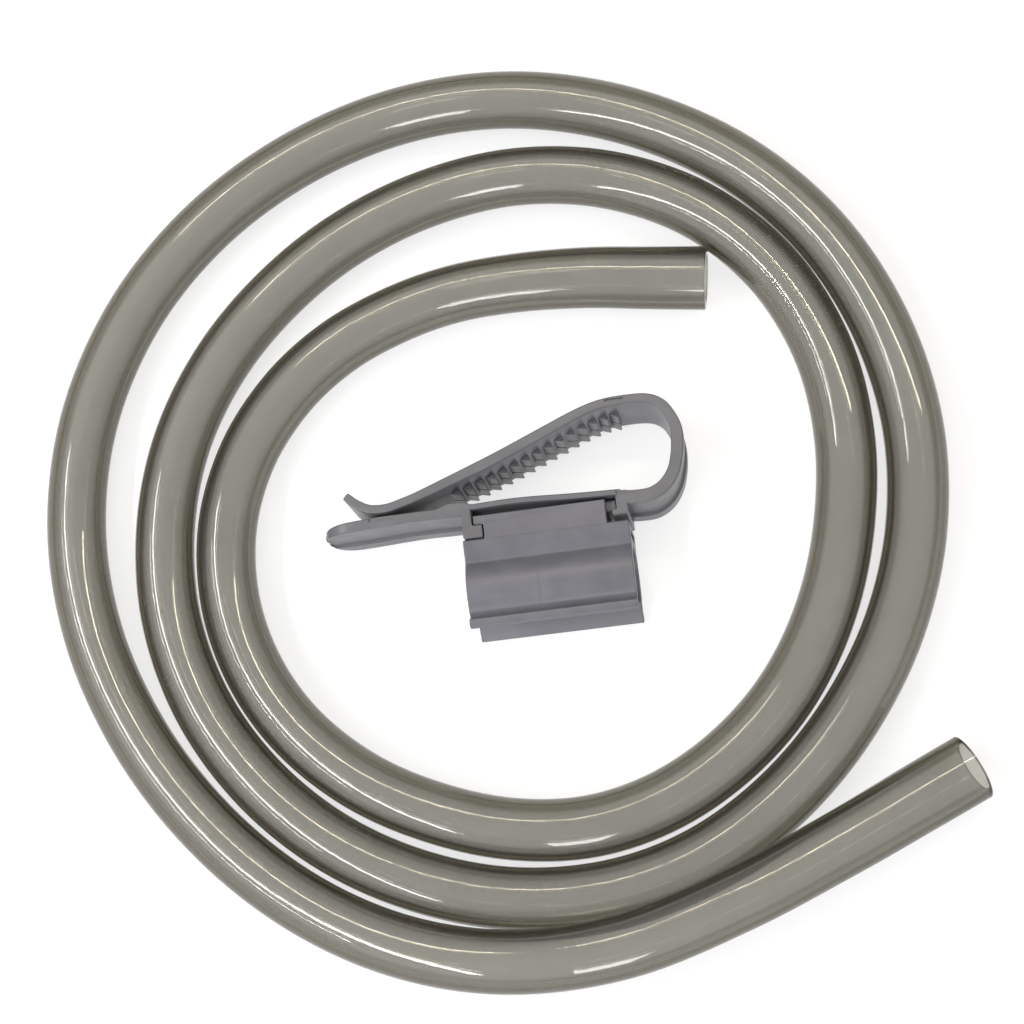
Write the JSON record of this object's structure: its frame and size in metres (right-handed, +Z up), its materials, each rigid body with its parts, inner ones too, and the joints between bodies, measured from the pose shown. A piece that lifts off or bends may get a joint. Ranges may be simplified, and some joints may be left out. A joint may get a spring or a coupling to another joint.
{
  "type": "siphon hose with tank-rim clip",
  "caption": "Clear flexible siphon hose in a loose flat coil, with a toothed spring clip for a tank or pool rim and a slide-on C-shaped hose holder.",
  "frame": {"origin": "middle of the footprint on the surface that the coil lies on", "axes": "+Z up from the surface, X and Y level; the clip's base arm runs along +X, turned 5.5 degrees towards +Y"},
  "size_m": [0.2498, 0.2535, 0.0252],
  "materials": {
    "hose_pvc": "clear smoke-grey flexible PVC, glossy",
    "clip_plastic": "moulded grey plastic, satin to gloss",
    "holder_plastic": "moulded grey plastic, satin to gloss"
  },
  "bodies": {
    "hose": {"hose_coil": "hose_pvc", "hose_inner_end": "hose_pvc", "hose_outer_end": "hose_pvc"},
    "clip": {"clip_base": "clip_plastic"},
    "jaw": {"clip_jaw": "clip_plastic"},
    "holder": {"hose_holder": "holder_plastic"}
  },
  "joints": [
    {"name": "clip_lift", "type": "slide", "parent": "hose", "child": "clip", "axis": [0, 0, 1], "range_m": [0, 0.08]},
    {"name": "jaw_flex", "type": "hinge", "parent": "clip", "child": "jaw", "pos_m": [0.04936, 0.01273, 0.011], "axis": [0, 0, -1], "range_deg": [0, 14], "stiffness_Nm_per_rad": 1.2, "springref_deg": -4.58},
    {"name": "holder_slide", "type": "slide", "parent": "clip", "child": "holder", "axis": [0, 0, 1], "range_m": [0, 0.022]}
  ]
}
